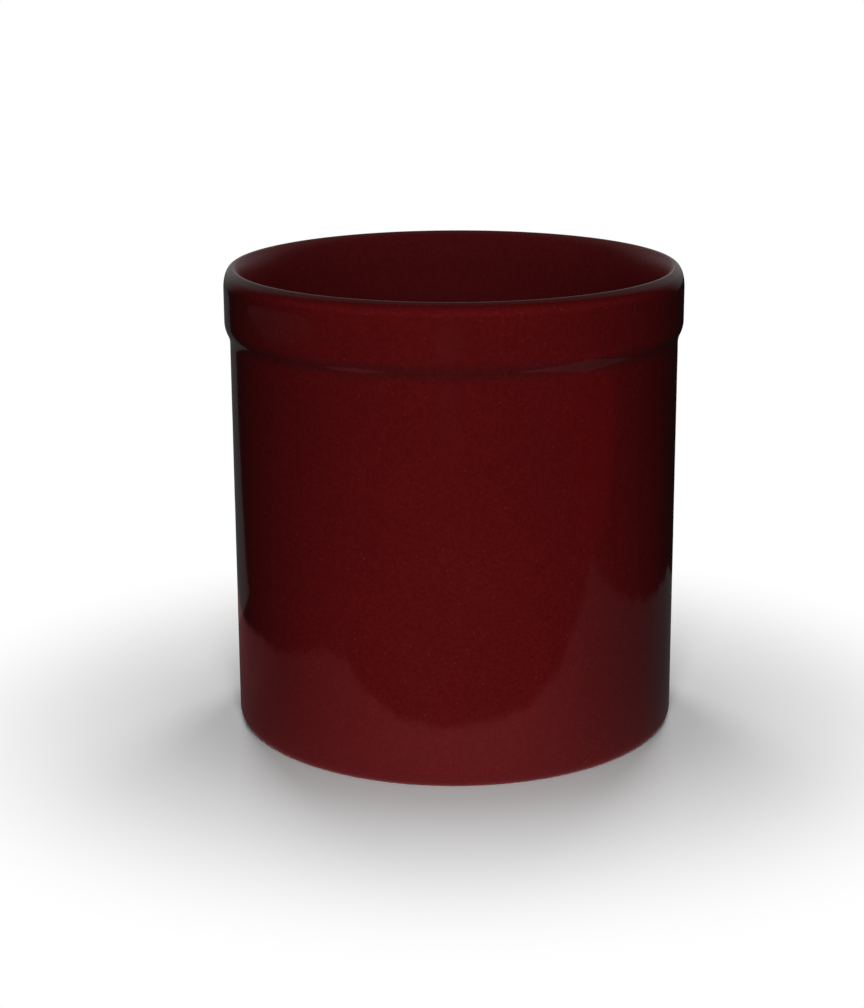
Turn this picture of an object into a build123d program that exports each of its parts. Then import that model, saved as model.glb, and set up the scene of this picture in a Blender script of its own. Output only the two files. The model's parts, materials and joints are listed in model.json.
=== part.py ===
from build123d import *
from math import asin, atan, degrees, radians, sin
import os

# A straight-sided stoneware crock with a raised collar round its mouth.
# Lengths are in millimetres. The origin is on the axis, on the plane that the crock stands on, and +Z is up.
# Sizes are those of the finished pot, glaze included, unless a line says otherwise.

# Overall form
crock_height = 180.0
body_diameter = 172.0
wall_thickness = 6.0
floor_thickness = 7.0

# Collar: a plain band that stands out from the wall by its step, and runs back into it through a soft S-curve
collar_step = 2.0
collar_height = 29.0
collar_curve_height = 8.5

# Lip: two quarter ellipses that meet at the crest. The inner one runs down the bore, so that the mouth flares.
lip_outer_width = 3.5
lip_outer_drop = 8.0
lip_inner_drop = 14.0

# Base: a rounded lower edge, a flat ring that the crock stands on and a shallow hollow inside the ring
base_edge_radius = 5.5
foot_ring_width = 7.5
foot_hollow_depth = 3.0
foot_hollow_corner_radius = 1.6
floor_cove_radius = 8.0

# Glaze: its thickness, and how far above the standing plane the outer coat stops
glaze_thickness = 0.6
glaze_line_height = 0.3

# Radii worked out from the sizes above
body_radius = body_diameter / 2
collar_radius = body_radius + collar_step
bore_radius = body_radius - wall_thickness
crest_radius = collar_radius - lip_outer_width
lip_inner_width = crest_radius - bore_radius
foot_outer_radius = body_radius - base_edge_radius
foot_inner_radius = foot_outer_radius - foot_ring_width
hollow_corner_centre_radius = foot_inner_radius - foot_hollow_corner_radius
cove_centre_radius = bore_radius - floor_cove_radius

# Heights worked out from the sizes above
base_edge_centre_height = base_edge_radius - glaze_thickness
collar_curve_bottom = crock_height - collar_height
collar_curve_top = collar_curve_bottom + collar_curve_height
lip_outer_base = crock_height - lip_outer_drop
lip_inner_base = crock_height - lip_inner_drop
floor_top = foot_hollow_depth + floor_thickness
cove_centre_height = floor_top + floor_cove_radius
hollow_corner_centre_height = foot_hollow_depth - foot_hollow_corner_radius

# The S-curve is two equal arcs, each tangent to the vertical. Angles are in degrees.
collar_curve_angle = degrees(2 * atan(collar_step / collar_curve_height))
collar_curve_radius = collar_curve_height / (2 * sin(radians(collar_curve_angle)))

# Where the outer coat stops on the rounded lower edge, as an angle below the horizontal
glaze_line_angle = degrees(asin((base_edge_centre_height - glaze_line_height) / base_edge_radius))


def arc(centre_radius, centre_height, radius, start, end):
    """Arc of the section, about a centre given by its distance from the axis and its height."""
    return CenterArc((centre_radius, centre_height), radius, start, end - start)


def quarter_ellipse(base_height, width, rise, start):
    """Quarter of an ellipse centred under the crest of the lip."""
    return EllipticalCenterArc((crest_radius, base_height), width, rise, start, arc_size=90)


def outside(depth, start_angle):
    """Outside of the wall, from the rounded lower edge up to the crest, this deep under the finished skin."""
    wall = body_radius - depth
    collar = collar_radius - depth
    hollow_centre = wall + collar_curve_radius
    round_centre = collar - collar_curve_radius
    return [
        arc(foot_outer_radius, base_edge_centre_height, base_edge_radius - depth, start_angle, 0),
        Line((wall, base_edge_centre_height), (wall, collar_curve_bottom)),
        arc(hollow_centre, collar_curve_bottom, collar_curve_radius, 180, 180 - collar_curve_angle),
        arc(round_centre, collar_curve_top, collar_curve_radius, -collar_curve_angle, 0),
        Line((collar, collar_curve_top), (collar, lip_outer_base)),
        quarter_ellipse(lip_outer_base, lip_outer_width - depth, lip_outer_drop - depth, 0),
    ]


def inside(depth):
    """Inside of the pot, from the crest down over the floor, this deep under the finished skin."""
    bore = bore_radius + depth
    floor = floor_top - depth
    return [
        quarter_ellipse(lip_inner_base, lip_inner_width - depth, lip_inner_drop - depth, 90),
        Line((bore, lip_inner_base), (bore, cove_centre_height)),
        arc(cove_centre_radius, cove_centre_height, floor_cove_radius + depth, 0, -90),
        Line((cove_centre_radius, floor), (0, floor)),
    ]


def foot_hollow(cover):
    """Ceiling and rounded corner of the hollow under the floor, with this much glaze over the clay."""
    ceiling = foot_hollow_depth - cover
    corner_radius = foot_hollow_corner_radius - cover
    return [
        Line((0, ceiling), (hollow_corner_centre_radius, ceiling)),
        arc(hollow_corner_centre_radius, hollow_corner_centre_height, corner_radius, 90, 0),
    ]


def turned(*edges):
    """Solid made by turning the closed section of these edges once round the axis."""
    return revolve(Plane.XZ * make_face(edges), Axis.Z)


def coat(skin, clay):
    """Coat of glaze between a stretch of the finished skin and the same stretch of the clay under it."""
    return turned(*skin, *clay, Line(skin[0] @ 0, clay[0] @ 0), Line(skin[-1] @ 1, clay[-1] @ 1))


def stoneware_body():
    """Fired clay: floor, wall, collar and foot ring are one piece. Only the foot is left bare."""
    return turned(
        *outside(glaze_thickness, -90),
        *inside(glaze_thickness),
        Line((0, floor_top - glaze_thickness), (0, foot_hollow_depth)),
        *foot_hollow(0),
        Line((foot_inner_radius, hollow_corner_centre_height), (foot_inner_radius, 0)),
        Line((foot_inner_radius, 0), (foot_outer_radius, 0)),
    )


def outer_glaze():
    """Coat of the outside, from the glaze line on the lower edge up to the crest of the lip."""
    return coat(outside(0, -glaze_line_angle), outside(glaze_thickness, -glaze_line_angle))


def inner_glaze():
    """Coat of the inside, from the crest of the lip down the wall and over the whole floor."""
    return coat(inside(0), inside(glaze_thickness))


def base_glaze():
    """Disc of glaze in the hollow under the floor, inside the bare foot ring."""
    return coat(foot_hollow(glaze_thickness), foot_hollow(0))


pieces = {
    "stoneware_body": stoneware_body(),
    "outer_glaze": outer_glaze(),
    "inner_glaze": inner_glaze(),
    "base_glaze": base_glaze(),
}

os.makedirs("parts", exist_ok=True)
for name, piece in pieces.items():
    export_step(piece, f"parts/{name}.step")
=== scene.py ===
"""The looks of a utensil crock: turned stoneware under a deep red gloss glaze, with its studio and camera.

Lengths are in metres, in the frame of the CAD model: the origin is on the axis of the crock, on the plane
that it stands on, and +Z is up. Angles are in degrees. Azimuth 0 is in front of the crock, and 90 is at +X.
"""

import json
import logging
from collections.abc import Mapping, Sequence
from dataclasses import dataclass, field
from enum import Enum
from functools import reduce
from math import asin, atan, cos, degrees, pi, radians, sin
from operator import mul

import bmesh
import bpy
from mathutils import Matrix, Vector


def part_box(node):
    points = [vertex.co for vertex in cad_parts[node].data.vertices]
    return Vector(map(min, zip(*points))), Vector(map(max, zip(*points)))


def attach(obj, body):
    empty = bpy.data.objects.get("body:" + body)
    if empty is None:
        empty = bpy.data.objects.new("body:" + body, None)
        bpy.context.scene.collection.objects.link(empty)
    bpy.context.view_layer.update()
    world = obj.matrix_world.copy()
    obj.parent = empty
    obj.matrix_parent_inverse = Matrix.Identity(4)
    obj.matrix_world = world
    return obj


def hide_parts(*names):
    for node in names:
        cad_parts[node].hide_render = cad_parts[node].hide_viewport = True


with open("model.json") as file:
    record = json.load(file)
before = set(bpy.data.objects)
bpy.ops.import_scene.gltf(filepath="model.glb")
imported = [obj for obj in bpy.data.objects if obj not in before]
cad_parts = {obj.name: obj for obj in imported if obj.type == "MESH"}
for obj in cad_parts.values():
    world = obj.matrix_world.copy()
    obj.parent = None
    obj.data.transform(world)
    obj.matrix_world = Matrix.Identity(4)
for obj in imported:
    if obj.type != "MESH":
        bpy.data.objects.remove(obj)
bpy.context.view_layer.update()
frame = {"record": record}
log = logging.getLogger("crock")

Point = tuple[float, float]
Pair = tuple[float, float]
Place = tuple[float, float, float]
Colour = tuple[float, float, float, float]

WHITE: Colour = (1.0, 1.0, 1.0, 1.0)
MM_PER_METRE = 1000
# The noise runs from 0 to 1, about this level.
NOISE_MIDDLE = 0.5
# A spot is solid over this share of its radius, and fades out over the rest.
SPOT_CORE_SHARE = 0.3
# Sides of the round pieces of the studio
STAGE_SIDES = 96
# Places of two opposite corners in the list that bound_box gives
LOWEST_CORNER = 0
HIGHEST_CORNER = 6


class Slot(Enum):
    """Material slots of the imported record."""

    RED_GLAZE = "red_glaze"
    BARE_STONEWARE = "bare_stoneware"


class Outline(Enum):
    """How the section of a turned piece closes."""

    LOOP = "loop"
    FROM_AXIS_TO_AXIS = "from_axis_to_axis"


class SeenBy(Enum):
    """Which rays meet a piece of the studio."""

    ALL_RAYS = "all_rays"
    REFLECTIONS = "reflections"


@dataclass(frozen=True)
class Signal:
    """Output socket of a node. Each operator adds the Math node that works it out."""

    graph: "Graph"
    socket: bpy.types.NodeSocket

    def __add__(self, other: "Signal | float") -> "Signal":
        """Sum."""
        return self.graph.maths("ADD", self, other)

    def __radd__(self, other: float) -> "Signal":
        """Sum with a number first."""
        return self.graph.maths("ADD", other, self)

    def __sub__(self, other: "Signal | float") -> "Signal":
        """Difference."""
        return self.graph.maths("SUBTRACT", self, other)

    def __rsub__(self, other: float) -> "Signal":
        """Difference with a number first."""
        return self.graph.maths("SUBTRACT", other, self)

    def __mul__(self, other: "Signal | float") -> "Signal":
        """Product."""
        return self.graph.maths("MULTIPLY", self, other)

    def __rmul__(self, other: float) -> "Signal":
        """Product with a number first."""
        return self.graph.maths("MULTIPLY", other, self)

    def __truediv__(self, other: "Signal | float") -> "Signal":
        """Quotient."""
        return self.graph.maths("DIVIDE", self, other)

    def __mod__(self, other: "Signal | float") -> "Signal":
        """Remainder."""
        return self.graph.maths("MODULO", self, other)

    def __pow__(self, other: "Signal | float") -> "Signal":
        """Power."""
        return self.graph.maths("POWER", self, other)

    def beside(self, output: str) -> "Signal":
        """Another output of the same node."""
        return Signal(self.graph, self.socket.node.outputs[output])


class Graph:
    """Node tree of a material, the world or a modifier, while it is being made."""

    def __init__(self, tree: bpy.types.NodeTree) -> None:
        """Empties the tree."""
        self.tree = tree
        tree.nodes.clear()

    def node(
        self, kind: str, settings: Mapping[str, object] | None = None,
        sockets: Mapping[str | int, object] | None = None,
    ) -> bpy.types.Node:
        """Adds a node.

        Args:
            kind: type of the node, by its bl_idname.
            settings: values of its properties, which are set first.
            sockets: numbers, colours or signals for its inputs, by name or by place.

        Returns:
            The node.
        """
        node = self.tree.nodes.new(kind)
        for name, value in (settings or {}).items():
            setattr(node, name, value)
        for key, value in (sockets or {}).items():
            socket = node.inputs[key] if isinstance(key, int) else self.open_input(node, key)
            if isinstance(value, Signal):
                self.tree.links.new(value.socket, socket)
            else:
                socket.default_value = value
        return node

    def read(
        self, kind: str, output: str, settings: Mapping[str, object] | None = None,
        sockets: Mapping[str | int, object] | None = None,
    ) -> Signal:
        """Adds a node and gives one of its outputs.

        Args:
            kind: as for node.
            output: name of the output.
            settings: as for node.
            sockets: as for node.

        Returns:
            The output, as a signal.
        """
        made = self.node(kind, settings, sockets)
        return Signal(self, next(s for s in made.outputs if s.name == output and s.enabled))

    @staticmethod
    def open_input(node: bpy.types.Node, name: str) -> bpy.types.NodeSocket:
        """The input of that name which the node's settings leave in use."""
        return next(s for s in node.inputs if s.name == name and s.enabled)

    def maths(self, operation: str, *values: "Signal | float") -> Signal:
        """Adds a Math node."""
        return self.read("ShaderNodeMath", "Value", {"operation": operation}, dict(enumerate(values)))

    def smooth(self, value: Signal, low: float, high: float) -> Signal:
        """A soft step from 0 at low to 1 at high."""
        bounds = {"Value": value, "From Min": low, "From Max": high}
        return self.read("ShaderNodeMapRange", "Result", {"interpolation_type": "SMOOTHSTEP"}, bounds)

    def mix(self, share: "Signal | float", low: "Signal | Colour", high: "Signal | Colour") -> Signal:
        """A colour between two, from low at a share of 0 to high at 1."""
        colours = {"Factor": share, "A": low, "B": high}
        return self.read("ShaderNodeMix", "Result", {"data_type": "RGBA"}, colours)

    def scaled(self, vector: Signal, factor: "Signal | float") -> Signal:
        """A colour or vector times a number."""
        sockets = {0: vector, "Scale": factor}
        return self.read("ShaderNodeVectorMath", "Vector", {"operation": "SCALE"}, sockets)

    def coordinates(self, vector: Signal) -> tuple[Signal, Signal, Signal]:
        """The three parts of a vector."""
        x = self.read("ShaderNodeSeparateXYZ", "X", sockets={"Vector": vector})
        return x, x.beside("Y"), x.beside("Z")

    def vector(self, x: "Signal | float", y: "Signal | float", z: "Signal | float") -> Signal:
        """A vector from its three parts."""
        return self.read("ShaderNodeCombineXYZ", "Vector", sockets={"X": x, "Y": y, "Z": z})

    def from_axis(self, x: Signal, y: Signal) -> Signal:
        """Distance from the axis of the crock."""
        return self.maths("SQRT", x * x + y * y)

    def noise(self, place: Signal, size: float, seed: "Signal | float", detail: float = 2.0) -> Signal:
        """Soft noise around its middle.

        Args:
            place: where it is read.
            size: width of its largest features.
            seed: which of the many patterns it is.
            detail: how many finer layers it has.

        Returns:
            The noise, from 0 to 1.
        """
        sockets = {"Vector": place, "W": seed, "Scale": 1 / size, "Detail": detail}
        return self.read("ShaderNodeTexNoise", "Fac", {"noise_dimensions": "4D"}, sockets)

    def change(self, place: Signal, size: float, seed: float, amount: float) -> Signal:
        """Soft change to either side of 0, by half the amount at most."""
        return amount * (self.noise(place, size, seed) - NOISE_MIDDLE)

    def spots(self, place: Signal, spacing: float, radius: float, offset: Place) -> Signal:
        """Small round spots, one to a cell.

        Args:
            place: where they are read.
            spacing: width of a cell.
            radius: radius of the largest spots.
            offset: how far the pattern is moved.

        Returns:
            1 in the middle of a spot, 0 outside.
        """
        moved = self.read("ShaderNodeVectorMath", "Vector", {"operation": "ADD"}, {0: place, 1: offset})
        sockets = {"Vector": moved, "Scale": 1 / spacing}
        cells = self.read("ShaderNodeTexVoronoi", "Distance", {"feature": "F1"}, sockets)
        return 1 - self.smooth(cells, SPOT_CORE_SHARE * radius / spacing, radius / spacing)

    def looked_at(self) -> Signal:
        """Tells the rays that look at a thing from those that light it.

        Returns:
            1 for the rays of the camera, of mirrors and of glass, and 0 for the others.
        """
        seen = self.read("ShaderNodeLightPath", "Is Camera Ray")
        mirrored = seen.beside("Is Glossy Ray") + seen.beside("Is Transmission Ray")
        return self.maths("MAXIMUM", seen, mirrored)


def new_material(name: str) -> tuple[bpy.types.Material, Graph]:
    """Makes an empty material.

    Args:
        name: its name.

    Returns:
        The material and its graph.
    """
    material = bpy.data.materials.new(name)
    material.use_nodes = True
    return material, Graph(material.node_tree)


@dataclass(frozen=True)
class RedGlaze:
    """Deep red gloss glaze: clouds, mottle, fine grain, specks and a slight orange peel.

    It has painted shade under the collar, a band of painted light under the lip with painted shade on the
    crest, painted light towards the foot and on the rounded lower edge, and a browner edge at the glaze line
    that is also lightened as painted light. It is duller inside the pot, and a lighter red there as painted
    light.
    """

    lip_crest: float
    crest_radius: float
    collar_bottom: float
    glaze_line: float
    colour: Colour = (0.073, 0.0036, 0.0044, 1.0)
    # Painted light: a lighter red inside the pot than outside.
    inner_painted_light_colour: Colour = (0.093, 0.0072, 0.0086, 1.0)
    # Painted shade: a darker red in a band under the collar, where its S-curve faces down.
    under_collar_shade_colour: Colour = (0.054, 0.0047, 0.0056, 1.0)
    # Browner where the glaze thins at the glaze line, and lighter as painted light on the shaded underside.
    edge_brown_and_painted_light: Colour = (0.088, 0.012, 0.010, 1.0)
    speck_colour: Colour = (0.100, 0.010, 0.011, 1.0)
    pinhole_colour: Colour = (0.012, 0.002, 0.002, 1.0)
    refraction: float = 1.5
    roughness: float = 0.09
    roughness_change: float = 0.03
    inner_roughness: float = 0.34
    inner_from: float = 0.0015
    inner_to: float = 0.0005
    cloud_size: float = 0.040
    cloud_change: float = 0.16
    cloud_seed: float = 1.0
    mottle_size: float = 0.003
    mottle_change: float = 0.16
    mottle_seed: float = 2.0
    gloss_seed: float = 4.0
    grain_size: float = 0.0011
    grain_change: float = 0.80
    grain_seed: float = 3.0
    speck_spacing: float = 0.0042
    speck_radius: float = 0.00050
    speck_offset: Place = (0.31, 0.17, 0.05)
    pinhole_spacing: float = 0.0050
    pinhole_radius: float = 0.00034
    pinhole_offset: Place = (0.07, 0.23, 0.41)
    # Painted light: the outside grows lighter towards the foot.
    foot_painted_light: float = 0.30
    # Painted light on the rounded lower edge, which faces down into shade.
    base_edge_painted_light: float = 0.40
    base_edge_light_height: float = 0.0055
    # Where the band of painted shade under the collar lies, and how wide it is.
    under_collar_shade_rise: float = 0.0044
    under_collar_shade_width: float = 0.0050
    # Painted light: a lighter band under the lip's crest. Painted shade: a darker crest.
    lip_painted_light_bottom: float = 0.0052
    lip_painted_light_top: float = 0.0039
    lip_painted_light_gain: float = 0.19
    crest_painted_shade: float = 0.41
    crest_width: float = 0.0008
    edge_width: float = 0.0016
    peel_size: float = 0.0042
    peel_height: float = 0.000026
    peel_detail: float = 1.0
    peel_seed: float = 5.0
    grain_height: float = 0.0000016
    grain_height_seed: float = 6.0

    def make(self) -> bpy.types.Material:
        """Builds the material.

        Returns:
            The glaze.
        """
        material, graph = new_material("red_glaze")
        place = graph.read("ShaderNodeTexCoord", "Object")
        colour = graph.scaled(self.base_colour(graph, place), self.shade(graph, place))
        gloss = graph.change(place, self.mottle_size, self.gloss_seed, self.roughness_change)
        shader = graph.read("ShaderNodeBsdfPrincipled", "BSDF", sockets={
            "Base Color": colour,
            "Roughness": self.dullness(graph, place) + gloss,
            "IOR": self.refraction,
            "Normal": self.bumps(graph, place),
        })
        graph.node("ShaderNodeOutputMaterial", sockets={"Surface": shader})
        return material

    def outside(self, graph: Graph, place: Signal) -> Signal:
        """1 on the outside of the pot, and 0 inside it and under its foot."""
        x, y, _ = graph.coordinates(place)
        return graph.smooth(graph.from_axis(x, y), self.crest_radius - self.crest_width, self.crest_radius)

    def dullness(self, graph: Graph, place: Signal) -> Signal:
        """Makes the glaze duller inside the pot than on the outside.

        Args:
            graph: the material's graph.
            place: where it is read.

        Returns:
            The roughness.
        """
        x, y, _ = graph.coordinates(place)
        crest = self.crest_radius
        polished = graph.smooth(graph.from_axis(x, y), crest - self.inner_from, crest - self.inner_to)
        return self.inner_roughness + (self.roughness - self.inner_roughness) * polished

    def base_colour(self, graph: Graph, place: Signal) -> Signal:
        """Red with its specks and pinholes, with painted shade under the collar and a lighter red inside as
        painted light.
        At the glaze line it is browner, and lighter as painted light.

        Args:
            graph: the material's graph.
            place: where it is read.

        Returns:
            The colour, before its shade.
        """
        height = graph.coordinates(place)[2]
        # A browner edge at the glaze line, lightened as painted light.
        edge = 1 - graph.smooth(height, self.glaze_line, self.glaze_line + self.edge_width)
        # Painted shade: a darker red in a band under the collar.
        from_under_collar_shade = graph.maths("ABSOLUTE", height - (self.collar_bottom + self.under_collar_shade_rise))
        skin = graph.mix(graph.smooth(from_under_collar_shade, 0.0, self.under_collar_shade_width), self.under_collar_shade_colour, self.colour)
        # Painted light: the lighter red inside the pot.
        coat = graph.mix(self.outside(graph, place), self.inner_painted_light_colour, skin)
        red = graph.mix(edge, coat, self.edge_brown_and_painted_light)
        specks = graph.spots(place, self.speck_spacing, self.speck_radius, self.speck_offset)
        pinholes = graph.spots(place, self.pinhole_spacing, self.pinhole_radius, self.pinhole_offset)
        return graph.mix(pinholes, graph.mix(specks, red, self.speck_colour), self.pinhole_colour)

    def shade(self, graph: Graph, place: Signal) -> Signal:
        """Makes the glaze lighter or darker: at random from place to place, and with painted light and shade
        at the lip, towards the foot and on the rounded lower edge.

        Args:
            graph: the material's graph.
            place: where it is read.

        Returns:
            The factor of its colour.
        """
        height = graph.coordinates(place)[2]
        outside = self.outside(graph, place)
        clouds = 1 + graph.change(place, self.cloud_size, self.cloud_seed, self.cloud_change)
        mottle = 1 + graph.change(place, self.mottle_size, self.mottle_seed, self.mottle_change)
        grain = 1 + graph.change(place, self.grain_size, self.grain_seed, self.grain_change)
        # Painted light in a band under the lip's crest, and painted shade on the crest.
        rise = graph.smooth(height, self.lip_crest - self.lip_painted_light_bottom, self.lip_crest - self.lip_painted_light_top)
        fall = graph.smooth(height, self.lip_crest - self.lip_painted_light_top, self.lip_crest)
        lip = self.lip_painted_light_gain * rise * (1 - fall) - self.crest_painted_shade * fall
        # Painted light, lighter towards the foot.
        foot = self.foot_painted_light * (1 - graph.smooth(height, 0.0, self.collar_bottom))
        # Painted light on the rounded lower edge.
        base = self.base_edge_painted_light * (1 - graph.smooth(height, 0.0, self.base_edge_light_height))
        return clouds * mottle * grain * (1 + outside * (lip + foot + base))

    def bumps(self, graph: Graph, place: Signal) -> Signal:
        """Orange peel with a finer grain on it.

        Args:
            graph: the material's graph.
            place: where it is read.

        Returns:
            The normal.
        """
        peel = graph.noise(place, self.peel_size, self.peel_seed, self.peel_detail)
        grain = graph.noise(place, self.grain_size, self.grain_height_seed)
        coarse = graph.read("ShaderNodeBump", "Normal", sockets={
            "Distance": self.peel_height, "Height": peel,
        })
        return graph.read("ShaderNodeBump", "Normal", sockets={
            "Distance": self.grain_height, "Height": grain, "Normal": coarse,
        })


@dataclass(frozen=True)
class BareStoneware:
    """Unglazed fired clay: warm buff, sandy and speckled with iron."""

    colour: Colour = (0.62, 0.53, 0.43, 1.0)
    toasted_colour: Colour = (0.44, 0.31, 0.21, 1.0)
    iron_colour: Colour = (0.09, 0.05, 0.03, 1.0)
    roughness: float = 0.86
    cloud_size: float = 0.022
    cloud_seed: float = 1.0
    toasted_from: float = 0.35
    toasted_at: float = 0.75
    grain_size: float = 0.0006
    grain_change: float = 0.35
    grain_height: float = 0.00004
    grain_seed: float = 2.0
    iron_spacing: float = 0.0034
    iron_radius: float = 0.00042
    iron_offset: Place = (0.11, 0.29, 0.37)

    def make(self) -> bpy.types.Material:
        """Builds the material.

        Returns:
            The bare clay.
        """
        material, graph = new_material("bare_stoneware")
        place = graph.read("ShaderNodeTexCoord", "Object")
        clouds = graph.noise(place, self.cloud_size, self.cloud_seed)
        toasted = graph.smooth(clouds, self.toasted_from, self.toasted_at)
        clay = graph.mix(toasted, self.colour, self.toasted_colour)
        iron = graph.spots(place, self.iron_spacing, self.iron_radius, self.iron_offset)
        grain = graph.noise(place, self.grain_size, self.grain_seed)
        shade = 1 + self.grain_change * (grain - NOISE_MIDDLE)
        colour = graph.scaled(graph.mix(iron, clay, self.iron_colour), shade)
        bump = graph.read("ShaderNodeBump", "Normal", sockets={
            "Distance": self.grain_height, "Height": grain,
        })
        shader = graph.read("ShaderNodeBsdfPrincipled", "BSDF", sockets={
            "Base Color": colour, "Roughness": self.roughness, "Normal": bump,
        })
        graph.node("ShaderNodeOutputMaterial", sockets={"Surface": shader})
        return material


@dataclass
class Section:
    """Outline of a turned piece: points given by their distance from the axis and their height."""

    points: list[Point] = field(default_factory=list)
    closest: float = 0.000001

    def add(self, *points: Point) -> "Section":
        """Adds points, but none on top of the one before it.

        Args:
            points: the points, in order.

        Returns:
            This section.
        """
        for point in points:
            if not self.points or max(abs(a - b) for a, b in zip(point, self.points[-1])) > self.closest:
                self.points.append(point)
        return self

    def line(self, end: Point, row: float) -> "Section":
        """Adds a straight stretch.

        Args:
            end: where it ends.
            row: about how far apart its points are.

        Returns:
            This section.
        """
        start = self.points[-1]
        length = max(abs(b - a) for a, b in zip(start, end))
        steps = max(1, round(length / row))
        for step in range(1, steps + 1):
            share = step / steps
            self.add((start[0] + share * (end[0] - start[0]), start[1] + share * (end[1] - start[1])))
        return self

    def arc(self, centre: Point, radii: Pair, angles: Pair, steps: int, ease: float = 1.0) -> "Section":
        """Adds part of a circle or an ellipse.

        Args:
            centre: its centre.
            radii: its radius across and its radius upwards.
            angles: where it starts and ends, anticlockwise from straight out.
            steps: how many steps it has.
            ease: above 1, the steps are finer towards the end. Below 0, towards the start.

        Returns:
            This section.
        """
        start, end = angles
        for step in range(steps + 1):
            share = step / steps
            share = 1 - (1 - share) ** ease if ease > 0 else share ** -ease
            angle = radians(start + share * (end - start))
            self.add((centre[0] + radii[0] * cos(angle), centre[1] + radii[1] * sin(angle)))
        return self


@dataclass(frozen=True)
class Wheel:
    """Geometry Nodes tree that turns a section round the axis, a little unevenly, as a thrown pot is."""

    spiral_floor: float
    steps: int = 320
    unevenness: float = 0.00024
    unevenness_size: float = 0.110
    ripple: float = 0.00011
    ripple_size: float = 0.013
    quiet_radius: float = 0.020
    full_radius: float = 0.060
    spiral_depth: float = 0.00015
    spiral_pitch: float = 0.011
    spiral_reach: float = 0.0003
    spiral_from: float = 0.004
    spiral_at: float = 0.010
    spiral_fade: float = 0.008
    weld: float = 0.000001
    seed: float = 7.0

    def tree(self) -> bpy.types.GeometryNodeTree:
        """Builds the tree.

        Returns:
            The tree, whose named inputs are the section, its number of points, the rows and the finish.
        """
        tree = bpy.data.node_groups.new("wheel", "GeometryNodeTree")
        graph = Graph(tree)
        inputs = {
            "Section": "Geometry", "Points": "Int", "Rows": "Int", "Steps": "Int", "Unevenness": "Float",
            "Ripple": "Float", "Spiral Depth": "Float", "Seed": "Float", "Finish": "Material",
        }
        for name, kind in inputs.items():
            tree.interface.new_socket(name=name, in_out="INPUT", socket_type=f"NodeSocket{kind}")
        tree.interface.new_socket(name="Turned", in_out="OUTPUT", socket_type="NodeSocketGeometry")
        given = graph.read("NodeGroupInput", "Section")
        rows, steps = given.beside("Rows"), given.beside("Steps")
        index = graph.read("GeometryNodeInputIndex", "Index")
        place = graph.read("GeometryNodeInputPosition", "Position")
        sampled = graph.read(
            "GeometryNodeSampleIndex", "Value", {"data_type": "FLOAT_VECTOR", "domain": "POINT"},
            {"Geometry": given, "Value": place, "Index": (index % rows) % given.beside("Points")},
        )
        turn = 2 * pi * graph.maths("FLOOR", index / rows) / steps
        moved = self.thrown(graph, given, sampled, turn)
        shape = graph.read("GeometryNodeMeshGrid", "Mesh", sockets={
            "Vertices X": steps + 1, "Vertices Y": rows,
        })
        for kind, sockets in (
            ("GeometryNodeSetPosition", {"Position": moved}),
            ("GeometryNodeMergeByDistance", {"Distance": self.weld}),
            ("GeometryNodeSetShadeSmooth", {}),
            ("GeometryNodeRealizeInstances", {}),
            ("GeometryNodeSetMaterial", {"Material": given.beside("Finish")}),
        ):
            shape = graph.read(kind, "Geometry", sockets={"Geometry": shape, **sockets})
        graph.node("NodeGroupOutput", sockets={"Turned": shape})
        return tree

    def thrown(self, graph: Graph, given: Signal, sampled: Signal, turn: Signal) -> Signal:
        """Place of a point of the turned surface.

        Args:
            graph: the tree's graph.
            given: the tree's inputs.
            sampled: the point of the section.
            turn: its angle round the axis, in radians.

        Returns:
            The point, moved in by the unevenness. Near the axis it stays where the section has it.
        """
        radius, _, height = graph.coordinates(sampled)
        east, north = graph.maths("COSINE", turn), graph.maths("SINE", turn)
        even = graph.vector(radius * east, radius * north, height)
        seed = given.beside("Seed")
        hollow = graph.noise(even, self.unevenness_size, seed) * given.beside("Unevenness")
        ripple = graph.noise(even, self.ripple_size, seed + 1) * given.beside("Ripple")
        inward = (hollow + ripple) * graph.smooth(radius, self.quiet_radius, self.full_radius)
        finger = 0.5 + 0.5 * graph.maths("COSINE", 2 * pi * radius / self.spiral_pitch - turn)
        begun = graph.smooth(radius, self.spiral_from, self.spiral_at)
        left = 1 - graph.smooth(radius, self.full_radius, self.full_radius + self.spiral_fade)
        on_floor = graph.maths("COMPARE", height, self.spiral_floor, self.spiral_reach)
        groove = finger * begun * left * on_floor * given.beside("Spiral Depth")
        return graph.vector((radius - inward) * east, (radius - inward) * north, height - groove)


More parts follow.
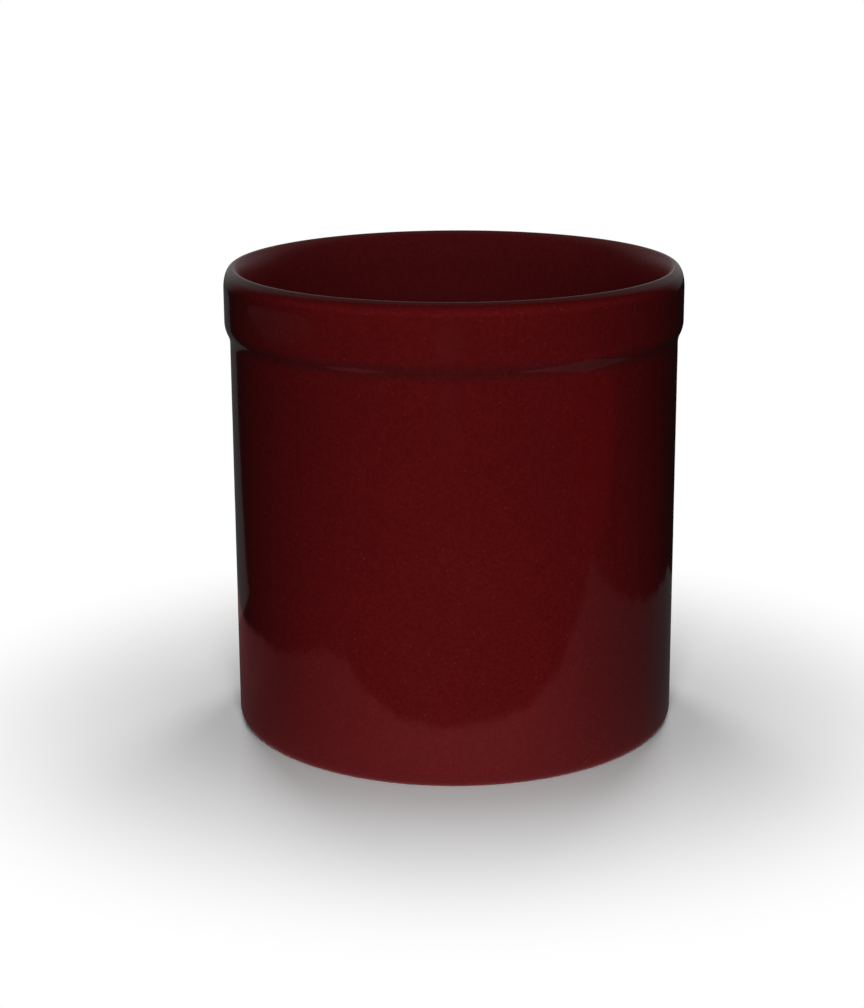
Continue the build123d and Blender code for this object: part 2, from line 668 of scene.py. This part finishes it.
@dataclass(frozen=True)
class TurnedPiece:
    """Piece of the pot that is a section turned once round the axis."""

    name: str
    node: str
    slot: Slot
    outline: Outline
    section: Section
    finish: bpy.types.Material
    crease: float = 35.0

    def make(self, wheel: Wheel, tree: bpy.types.GeometryNodeTree) -> bpy.types.Object:
        """Turns the piece and puts it in the place of its CAD node.

        Args:
            wheel: sizes of the turning.
            tree: the wheel's Geometry Nodes tree.

        Returns:
            The piece, as a plain mesh.
        """
        count = len(self.section.points)
        points = [(radius, 0.0, height) for radius, height in self.section.points]
        line = bpy.data.meshes.new(f"{self.name}_section")
        line.from_pydata(points, [(i, i + 1) for i in range(count - 1)], [])
        piece = bpy.data.objects.new(self.name, line)
        bpy.context.scene.collection.objects.link(piece)
        modifier = piece.modifiers.new("wheel", "NODES")
        modifier.node_group = tree
        sockets = {i.name: i.identifier for i in tree.interface.items_tree if i.in_out == "INPUT"}
        for name, value in {
            "Points": count, "Rows": count + (self.outline is Outline.LOOP), "Steps": wheel.steps,
            "Unevenness": wheel.unevenness, "Ripple": wheel.ripple, "Spiral Depth": wheel.spiral_depth,
            "Seed": wheel.seed, "Finish": self.finish,
        }.items():
            modifier[sockets[name]] = value
        evaluated = piece.evaluated_get(bpy.context.evaluated_depsgraph_get())
        mesh = bpy.data.meshes.new_from_object(evaluated)
        piece.modifiers.remove(modifier)
        piece.data = mesh
        mesh.name = self.name
        self.face_outwards(mesh)
        mesh.set_sharp_from_angle(angle=radians(self.crease))
        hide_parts(self.node)
        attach(piece, "root")
        return piece

    @staticmethod
    def face_outwards(mesh: bpy.types.Mesh) -> None:
        """Turns the faces of a closed mesh outwards.

        Args:
            mesh: the mesh, which is changed in place.
        """
        shell = bmesh.new()
        shell.from_mesh(mesh)
        bmesh.ops.recalc_face_normals(shell, faces=shell.faces)
        if shell.calc_volume(signed=True) < 0:
            bmesh.ops.reverse_faces(shell, faces=shell.faces)
        shell.to_mesh(mesh)
        shell.free()


@dataclass(frozen=True)
class Crock:
    """The pot and its coats of glaze. Overall sizes come from the frame, and small ones are given here."""

    height: float
    collar_radius: float
    bore_radius: float
    glaze: float
    floor_top: float
    foot_inner_radius: float
    foot_hollow: float
    collar_step: float = 0.0020
    collar_height: float = 0.0290
    collar_curve_height: float = 0.0085
    lip_outer_width: float = 0.0035
    lip_outer_drop: float = 0.0080
    lip_inner_drop: float = 0.0140
    base_edge_radius: float = 0.0055
    hollow_corner_radius: float = 0.0016
    foot_round: float = 0.0005
    cove_radius: float = 0.0080
    glaze_line: float = 0.0003
    wall_row: float = 0.0025
    floor_row: float = 0.0015
    bend_steps: int = 10
    lip_steps: int = 22
    lip_ease: float = 1.8
    nose_steps: int = 8

    @classmethod
    def from_frame(cls) -> "Crock":
        """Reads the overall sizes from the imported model.

        Returns:
            The crock in its CAD size. It stays inside the facets of the CAD model's round surfaces.
        """
        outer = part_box("outer_glaze")
        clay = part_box("stoneware_body")
        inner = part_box("inner_glaze")
        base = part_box("base_glaze")
        bore = next(m for m in frame["record"]["mounts"] if m["name"] == "mouth_bore")
        glaze = outer[1].z - clay[1].z
        return cls(
            height=outer[1].z,
            collar_radius=cls.least_reach(outer),
            bore_radius=bore["dims"]["r_mm"] / MM_PER_METRE,
            glaze=glaze,
            floor_top=inner[0].z + glaze,
            foot_inner_radius=cls.least_reach(base),
            foot_hollow=base[1].z,
        )

    @staticmethod
    def least_reach(box: Sequence[Vector]) -> float:
        """Distance from the axis to the nearest side of a box."""
        return min(*box[1].xy, *(-box[0].xy))

    @property
    def body_radius(self) -> float:
        """Radius of the wall under the collar."""
        return self.collar_radius - self.collar_step

    @property
    def crest_radius(self) -> float:
        """Radius at which the lip is highest."""
        return self.collar_radius - self.lip_outer_width

    @property
    def base_edge_centre(self) -> Point:
        """Centre of the rounded lower edge. The clay under the glaze touches the standing plane."""
        return self.body_radius - self.base_edge_radius, self.base_edge_radius - self.glaze

    @property
    def glaze_line_angle(self) -> float:
        """Where on the rounded lower edge the outer coat stops, below the horizontal."""
        return degrees(asin((self.base_edge_centre[1] - self.glaze_line) / self.base_edge_radius))

    @property
    def hollow_corner_centre(self) -> Point:
        """Centre of the rounded corner of the hollow under the floor."""
        radius = self.hollow_corner_radius
        return self.foot_inner_radius - radius, self.foot_hollow - radius

    def outside(self, depth: float, start_angle: float) -> Section:
        """Outside of the wall, from the rounded lower edge up to the crest.

        Args:
            depth: how deep under the finished skin.
            start_angle: where on the rounded lower edge it starts.

        Returns:
            The open section.
        """
        wall = self.body_radius - depth
        collar = self.collar_radius - depth
        bottom = self.height - self.collar_height
        top = bottom + self.collar_curve_height
        bend = 2 * atan(self.collar_step / self.collar_curve_height)
        radius = self.collar_curve_height / (2 * sin(bend))
        edge = self.base_edge_radius - depth
        lip = (self.crest_radius, self.height - self.lip_outer_drop)
        turn = degrees(bend)
        return (
            Section()
            .arc(self.base_edge_centre, (edge, edge), (start_angle, 0), self.bend_steps)
            .line((wall, bottom), self.wall_row)
            .arc((wall + radius, bottom), (radius, radius), (180, 180 - turn), self.bend_steps)
            .arc((collar - radius, top), (radius, radius), (-turn, 0), self.bend_steps)
            .line((collar, lip[1]), self.wall_row)
            .arc(lip, (self.lip_outer_width - depth, self.lip_outer_drop - depth), (0, 90),
                 self.lip_steps, self.lip_ease)
        )

    def inside(self, depth: float) -> Section:
        """Inside of the pot, from the crest down over the floor to the axis.

        Args:
            depth: how deep under the finished skin.

        Returns:
            The open section.
        """
        bore = self.bore_radius + depth
        floor = self.floor_top - depth
        lip = (self.crest_radius, self.height - self.lip_inner_drop)
        width = self.crest_radius - self.bore_radius
        cove = (self.bore_radius - self.cove_radius, self.floor_top + self.cove_radius)
        radius = self.cove_radius + depth
        return (
            Section()
            .arc(lip, (width - depth, self.lip_inner_drop - depth), (90, 180), self.lip_steps, -self.lip_ease)
            .line((bore, cove[1]), self.wall_row)
            .arc(cove, (radius, radius), (0, -90), self.bend_steps)
            .line((0.0, floor), self.floor_row)
        )

    def outer_coat(self) -> Section:
        """Outer glaze: its skin, then the clay's side, with a rounded nose at the glaze line.

        Returns:
            The section, which is a loop.
        """
        angle = -self.glaze_line_angle
        skin = self.outside(0.0, angle).points
        back = self.outside(self.glaze, angle).points
        half = self.glaze / 2
        middle = self.base_edge_radius - half
        centre = (
            self.base_edge_centre[0] + middle * cos(radians(angle)),
            self.base_edge_centre[1] + middle * sin(radians(angle)),
        )
        nose = Section().arc(centre, (half, half), (angle - 180, angle), self.nose_steps)
        return Section().add(*skin, *reversed(back), *nose.points[1:-1])

    def inner_coat(self) -> Section:
        """Inner glaze, from the axis over the floor, up to the crest and back along the clay.

        Returns:
            The section.
        """
        skin = self.inside(0.0).points
        back = self.inside(self.glaze).points
        return Section().add(*reversed(skin), *back)

    def base_coat(self) -> Section:
        """Disc of glaze in the hollow under the floor, with a rounded rim.

        Returns:
            The section.
        """
        ceiling = self.foot_hollow
        radius = self.hollow_corner_radius
        centre = self.hollow_corner_centre
        skin = radius - self.glaze
        half = self.glaze / 2
        return (
            Section()
            .add((0.0, ceiling))
            .line((centre[0], ceiling), self.wall_row)
            .arc(centre, (radius, radius), (90, 0), self.bend_steps)
            .arc((self.foot_inner_radius - half, centre[1]), (half, half), (0, -180), self.nose_steps)
            .arc(centre, (skin, skin), (0, 90), self.bend_steps)
            .line((0.0, ceiling - self.glaze), self.wall_row)
        )

    def clay(self) -> Section:
        """Fired clay, from the axis over the floor, up and down the wall, over the foot ring and back.

        Returns:
            The section.
        """
        radius = self.hollow_corner_radius
        corner = self.hollow_corner_centre
        round_off = self.foot_round
        ring = (self.foot_inner_radius + round_off, round_off)
        return (
            Section()
            .add(*reversed(self.inside(self.glaze).points))
            .add(*reversed(self.outside(self.glaze, -90).points))
            .line((ring[0], 0.0), self.floor_row)
            .arc(ring, (round_off, round_off), (-90, -180), self.nose_steps)
            .line((self.foot_inner_radius, corner[1]), self.wall_row)
            .arc(corner, (radius, radius), (0, 90), self.bend_steps)
            .line((0.0, self.foot_hollow), self.wall_row)
        )

    def make(self) -> list[bpy.types.Object]:
        """Builds the clay and its three coats.

        Returns:
            The four pieces.
        """
        glaze = RedGlaze(
            lip_crest=self.height, crest_radius=self.crest_radius,
            collar_bottom=self.height - self.collar_height, glaze_line=self.glaze_line,
        ).make()
        bare = BareStoneware().make()
        wheel = Wheel(self.floor_top)
        tree = wheel.tree()
        loop, axis = Outline.LOOP, Outline.FROM_AXIS_TO_AXIS
        pieces = [
            TurnedPiece("stoneware_clay", "stoneware_body", Slot.BARE_STONEWARE, axis, self.clay(), bare),
            TurnedPiece("outer_glaze_skin", "outer_glaze", Slot.RED_GLAZE, loop, self.outer_coat(), glaze),
            TurnedPiece("inner_glaze_skin", "inner_glaze", Slot.RED_GLAZE, axis, self.inner_coat(), glaze),
            TurnedPiece("base_glaze_skin", "base_glaze", Slot.RED_GLAZE, axis, self.base_coat(), glaze),
        ]
        return [piece.make(wheel, tree) for piece in pieces]


def direction(azimuth: float, elevation: float) -> Vector:
    """Unit vector from the crock towards that azimuth and elevation."""
    a, e = radians(azimuth), radians(elevation)
    return Vector((sin(a) * cos(e), -cos(a) * cos(e), sin(e)))


@dataclass(frozen=True)
class Softbox:
    """Soft area lamp that points at the crock. It isn't mirrored in the glaze, which the cards are."""

    name: str
    azimuth: float
    elevation: float
    distance: float
    width: float
    power: float

    def make(self, target: Vector) -> bpy.types.Object:
        """Places the lamp.

        Args:
            target: the point that it looks at.

        Returns:
            The lamp.
        """
        light = bpy.data.lights.new(self.name, "AREA")
        light.shape = "DISK"
        light.size = self.width
        light.energy = self.power
        lamp = bpy.data.objects.new(self.name, light)
        towards = direction(self.azimuth, self.elevation)
        lamp.location = target + self.distance * towards
        lamp.rotation_mode = "QUATERNION"
        lamp.rotation_quaternion = (-towards).to_track_quat("-Z", "Y")
        lamp.visible_glossy = False
        bpy.context.scene.collection.objects.link(lamp)
        return lamp


@dataclass(frozen=True)
class PaleFloor:
    """Pale floor that takes the crock's shadow, and turns to plain white away from it."""

    radius: float = 10.0
    white_from: float = 0.09
    white_at: float = 0.23
    colour: Colour = (0.92, 0.92, 0.92, 1.0)
    bounce: Colour = (0.05, 0.05, 0.05, 1.0)

    def finish(self) -> bpy.types.Material:
        """Builds the floor's material.

        Returns:
            Where it is looked at, pale and matt by the crock and white away from it. It bounces little light.
        """
        material, graph = new_material("pale_floor")
        x, y, _ = graph.coordinates(graph.read("ShaderNodeTexCoord", "Object"))
        away = graph.smooth(graph.from_axis(x, y), self.white_from, self.white_at)
        looked_at = graph.looked_at()
        colour = graph.mix(looked_at, self.bounce, self.colour)
        matt = graph.read("ShaderNodeBsdfDiffuse", "BSDF", sockets={"Color": colour})
        white = graph.read("ShaderNodeEmission", "Emission", sockets={"Color": WHITE, "Strength": 1.0})
        shader = graph.read("ShaderNodeMixShader", "Shader", sockets={0: away * looked_at, 1: matt, 2: white})
        graph.node("ShaderNodeOutputMaterial", sockets={"Surface": shader})
        material.cycles.emission_sampling = "NONE"
        return material

    def make(self) -> bpy.types.Object:
        """Lays the floor.

        Returns:
            The floor.
        """
        mesh = bpy.data.meshes.new("floor")
        disc = bmesh.new()
        bmesh.ops.create_circle(disc, cap_ends=True, segments=STAGE_SIDES, radius=self.radius)
        disc.to_mesh(mesh)
        disc.free()
        return place_on_stage(mesh, "floor", self.finish(), SeenBy.ALL_RAYS)


def place_on_stage(
    mesh: bpy.types.Mesh, name: str, finish: bpy.types.Material, seen_by: SeenBy
) -> bpy.types.Object:
    """Makes an object of the studio, which isn't part of the crock.

    Args:
        mesh: its mesh.
        name: its name.
        finish: its material.
        seen_by: the rays that meet it.

    Returns:
        The object.
    """
    mesh.materials.append(finish)
    thing = bpy.data.objects.new(name, mesh)
    bpy.context.scene.collection.objects.link(thing)
    if seen_by is SeenBy.REFLECTIONS:
        thing.visible_camera = False
        thing.visible_diffuse = False
        thing.visible_transmission = False
        thing.visible_volume_scatter = False
        thing.visible_shadow = False
    return thing


@dataclass(frozen=True)
class Edge:
    """Soft straight edge of a patch of the floor card.

    It has the azimuth that it faces, its distance from the axis, which is below 0 past it, and how far it
    fades to either side.
    """

    azimuth: float
    reach: float
    soft: float = 0.006


@dataclass(frozen=True)
class ReflectionCards:
    """Dim cards round the crock that only its gloss mirrors.

    On the floor are a warm table top with a wavering edge, a pale strip behind it on the left, a grey patch
    far to the left and a red glow to the right. The room over it is pale at the back. Levels are strengths
    of light.
    """

    radius: float = 1.6
    height: float = 2.0
    lift: float = 0.0005
    floor_to: float = 0.001
    room_from: float = 0.004
    table: tuple[Edge, ...] = (
        Edge(0, 0.146), Edge(-40, 0.206), Edge(-90, 0.184),
        Edge(-114, 0.180), Edge(112, 0.233), Edge(180, 0.170),
    )
    waver: float = 0.022
    waver_size: float = 0.024
    waver_seed: float = 8.0
    left_level: float = 0.018
    right_level: float = 0.045
    change_to: float = 0.10
    warm_level: float = 0.62
    left_falloff: float = 3.4
    right_falloff: float = 5.2
    warm_green: float = 0.17
    warm_blue: float = 0.20
    shade_from: float = 0.079
    shade_to: float = 0.084
    strip: tuple[Edge, ...] = (Edge(-62, 0.132), Edge(0, -0.10), Edge(90, 0.0))
    strip_level: float = 0.062
    far: tuple[Edge, ...] = (Edge(90, -0.86), Edge(0, 0.32), Edge(180, 0.48))
    far_level: float = 0.026
    side: tuple[Edge, ...] = (Edge(0, 0.02, 0.03), Edge(90, -0.10, 0.03))
    side_warm: float = 0.13
    glow: tuple[Edge, ...] = (
        Edge(180, -0.078, 0.030), Edge(-160.4, -0.240, 0.018), Edge(-45, -0.07, 0.15), Edge(70, 0.74, 0.05),
    )
    glow_level: float = 0.20
    room_level: float = 0.006
    rim_height: float = 0.175
    pale_elevation: float = 50.6
    pale_from: float = 0.36
    pale_to: float = 0.70
    low_level: float = 0.29
    level_fall: float = 0.20

    @staticmethod
    def inside(graph: Graph, x: Signal, y: Signal, edges: Sequence[Edge]) -> Signal:
        """Bounds a patch of the floor by its edges.

        Args:
            graph: the material's graph.
            x: place to the right.
            y: place to the back.
            edges: the edges, one or more.

        Returns:
            1 inside the patch, and 0 outside.
        """
        shares = []
        for edge in edges:
            outwards = direction(edge.azimuth, 0)
            reached = x * outwards.x + y * outwards.y
            shares.append(1 - graph.smooth(reached, edge.reach - edge.soft, edge.reach + edge.soft))
        return reduce(mul, shares)

    def floor(self, graph: Graph, x: Signal, y: Signal) -> tuple[Signal, Signal, Signal]:
        """Levels of the floor card: the table top is warm in front, and shaded where the crock stands.

        Args:
            graph: the material's graph.
            x: place to the right.
            y: place to the back.

        Returns:
            The levels of its grey light, of its warm light and of the red glow far to its right.
        """
        out = graph.maths("MAXIMUM", graph.from_axis(x, y), self.lift)
        facing = 0.5 - 0.5 * y / out
        shade = graph.smooth(out, self.shade_from, self.shade_to)
        waver = graph.change(graph.vector(x, y, 0.0), self.waver_size, self.waver_seed, self.waver)
        table = self.inside(graph, x + waver, y + waver, self.table) * shade
        strip = self.strip_level * self.inside(graph, x, y, self.strip) * shade
        side = self.inside(graph, x, y, self.side) * table
        to_right = graph.smooth(x, -self.change_to, self.change_to)
        level = self.left_level + (self.right_level - self.left_level) * to_right
        far = self.far_level * self.inside(graph, x, y, self.far)
        grey = self.room_level + graph.maths("MAXIMUM", level * table, strip) + far
        falloff = self.left_falloff + (self.right_falloff - self.left_falloff) * to_right
        warm = self.warm_level * facing ** falloff * table + self.side_warm * side
        return grey, warm, self.glow_level * self.inside(graph, x, y, self.glow)

    def room(self, graph: Graph, x: Signal, y: Signal, z: Signal) -> Signal:
        """Level of the room over the floor, which is pale behind and above the rim and dark in front of it.

        Args:
            graph: the material's graph.
            x: place to the right.
            y: place to the back.
            z: height.

        Returns:
            The level of its grey light.
        """
        rise = z - self.rim_height
        away = graph.maths("SQRT", x * x + y * y + rise * rise)
        middle = direction(180, self.pale_elevation)
        nearness = (y * middle.y + rise * middle.z) / away
        level = self.low_level - self.level_fall * rise / away
        return self.room_level + level * graph.smooth(nearness, self.pale_from, self.pale_to)

    def finish(self) -> bpy.types.Material:
        """Builds the cards' material.

        Returns:
            Light of the level that each part of the cards has.
        """
        material, graph = new_material("reflection_cards")
        x, y, z = graph.coordinates(graph.read("ShaderNodeTexCoord", "Object"))
        grey, warm, glow = self.floor(graph, x, y)
        up = graph.smooth(z, self.floor_to, self.room_from)
        grey = grey + (self.room(graph, x, y, z) - grey) * up
        warm = warm * (1 - up)
        glow = glow * (1 - up)
        green = grey + self.warm_green * warm
        blue = grey + self.warm_blue * warm
        colour = graph.vector(grey + warm + glow, green, blue)
        light = graph.read("ShaderNodeEmission", "Emission", sockets={"Color": colour, "Strength": 1.0})
        graph.node("ShaderNodeOutputMaterial", sockets={"Surface": light})
        material.cycles.emission_sampling = "NONE"
        return material

    def make(self) -> bpy.types.Object:
        """Sets the cards up as one drum round the crock.

        Returns:
            The drum.
        """
        mesh = bpy.data.meshes.new("reflection_cards")
        drum = bmesh.new()
        bmesh.ops.create_cone(
            drum, cap_ends=True, segments=STAGE_SIDES, radius1=self.radius, radius2=self.radius,
            depth=self.height, matrix=Matrix.Translation((0, 0, self.lift + self.height / 2)),
        )
        drum.to_mesh(mesh)
        drum.free()
        return place_on_stage(mesh, "reflection_cards", self.finish(), SeenBy.REFLECTIONS)


@dataclass(frozen=True)
class Camera:
    """Camera at the photograph's viewing angle, without shift. The photograph is 864 by 1008 pixels."""

    place: Place = (0.0, -0.83836, 0.31641)
    down: float = 15.456
    to_left: float = 0.596
    roll: float = -0.304
    lens: float = 79.06
    sensor: float = 36.0

    def make(self) -> bpy.types.Object:
        """Places the camera and makes it the scene's own.

        Returns:
            The camera.
        """
        data = bpy.data.cameras.new("camera")
        data.lens = self.lens
        data.sensor_width = self.sensor
        camera = bpy.data.objects.new("camera", data)
        forwards = -direction(self.to_left, self.down)
        rolled = Matrix.Rotation(radians(self.roll), 3, "Z")
        turned = forwards.to_track_quat("-Z", "Y").to_matrix() @ rolled
        camera.matrix_world = Matrix.Translation(self.place) @ turned.to_4x4()
        bpy.context.scene.collection.objects.link(camera)
        bpy.context.scene.camera = camera
        return camera


@dataclass(frozen=True)
class Studio:
    """Floor, lamps, reflection cards and surroundings of the crock."""

    target: Place = (0.0, 0.0, 0.09)
    ambient: float = 0.006
    softboxes: tuple[Softbox, ...] = (
        Softbox("key_softbox", azimuth=1, elevation=22, distance=0.68, width=0.20, power=2.2),
        Softbox("low_softbox", azimuth=-2, elevation=-2, distance=0.56, width=0.12, power=0.92),
        Softbox("top_softbox", azimuth=0, elevation=90, distance=1.10, width=0.30, power=1.6),
        Softbox("back_left_softbox", azimuth=-158, elevation=24, distance=0.75, width=0.30, power=2.2),
        Softbox("back_right_softbox", azimuth=158, elevation=24, distance=0.75, width=0.30, power=2.2),
    )

    def make(self) -> list[bpy.types.Object]:
        """Sets up the studio.

        Returns:
            Its floor, cards and lamps.
        """
        things = [PaleFloor().make(), ReflectionCards().make()]
        things += [softbox.make(Vector(self.target)) for softbox in self.softboxes]
        self.surround()
        return things

    def surround(self) -> None:
        """Gives the scene a white background and a low even light."""
        world = bpy.data.worlds.new("studio")
        world.use_nodes = True
        graph = Graph(world.node_tree)
        level = self.ambient + (1 - self.ambient) * graph.looked_at()
        light = graph.read("ShaderNodeBackground", "Background", sockets={"Color": WHITE, "Strength": level})
        graph.node("ShaderNodeOutputWorld", sockets={"Surface": light})
        bpy.context.scene.world = world


def main() -> None:
    """Builds the crock, its studio and its camera, and reports each piece."""
    logging.basicConfig(level=logging.INFO, format="%(message)s")
    bpy.context.scene.view_settings.view_transform = "Standard"
    for piece in Crock.from_frame().make():
        extent = Vector(piece.bound_box[HIGHEST_CORNER]) - Vector(piece.bound_box[LOWEST_CORNER])
        size = " x ".join(f"{MM_PER_METRE * length:.1f}" for length in extent)
        log.info("%s: %d faces, %s mm", piece.name, len(piece.data.polygons), size)
    for thing in Studio().make():
        log.info("%s: in the studio", thing.name)
    log.info("%s: at the photograph's angle", Camera().make().name)


if __name__ == "__main__":
    main()
